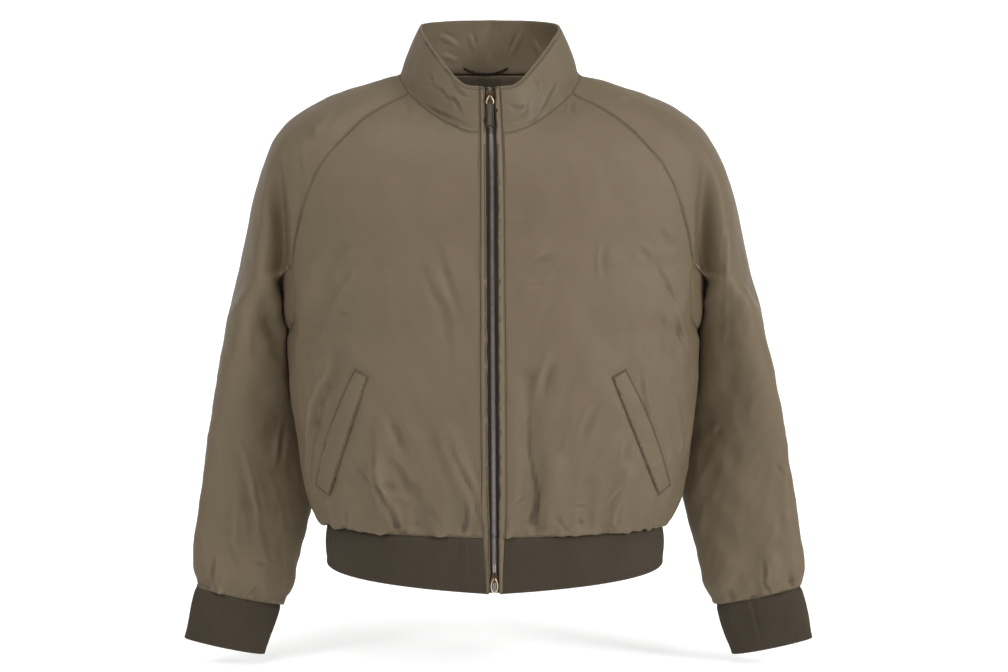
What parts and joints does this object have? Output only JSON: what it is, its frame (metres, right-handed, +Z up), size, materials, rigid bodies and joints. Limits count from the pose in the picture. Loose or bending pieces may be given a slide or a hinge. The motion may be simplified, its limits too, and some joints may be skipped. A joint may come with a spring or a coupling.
{
  "type": "bomber jacket",
  "caption": "Zip-front bomber jacket with raglan sleeves, stand collar, slanted welt pockets and rib cuffs and hem, held in its hollow worn form.",
  "frame": {"origin": "middle of the neck at the height of the back neck seam, where a wearer's neck and shoulders hold it", "axes": "+Z up, the front faces -Y, the wearer's left is at +X"},
  "size_m": [0.7996, 0.241, 0.8083],
  "materials": {
    "shell": "smooth fine twill with a soft sheen, olive brown",
    "rib": "matt rib knit, dark olive",
    "lining": "smooth lining, brown",
    "label": "bare woven patch, grey green",
    "tape": "matt woven tape, dark",
    "metal": "antique, dull"
  },
  "bodies": {
    "jacket": {"front_left": "shell", "front_right": "shell", "back": "shell", "sleeve_left": "shell", "sleeve_right": "shell", "gusset_left": "shell", "gusset_right": "shell", "collar": "shell", "placket_left": "shell", "placket_right": "shell", "pocket_welt_left": "shell", "pocket_welt_right": "shell", "hem_rib": "rib", "cuff_left": "rib", "cuff_right": "rib", "neck_lining": "lining", "hanger_loop": "lining", "label_patch": "label", "zip_tape_left": "tape", "zip_tape_right": "tape", "zip_chain": "metal", "zip_slider_top": "metal", "zip_slider_bottom": "metal", "eyelet_left_1": "metal", "eyelet_left_2": "metal", "eyelet_right_1": "metal", "eyelet_right_2": "metal"},
    "top_pull": {"zip_link_top": "metal", "zip_strap_top": "shell"},
    "bottom_pull": {"zip_link_bottom": "metal"}
  },
  "joints": [
    {"name": "top_pull_swing", "type": "hinge", "parent": "jacket", "child": "top_pull", "pos_m": [-0.00172, -0.10013, -0.02587], "axis": [-1, 0, 0], "range_deg": [0, 150]},
    {"name": "bottom_pull_swing", "type": "hinge", "parent": "jacket", "child": "bottom_pull", "pos_m": [0.00344, -0.10744, -0.60631], "axis": [-1, 0, 0], "range_deg": [0, 150]}
  ]
}
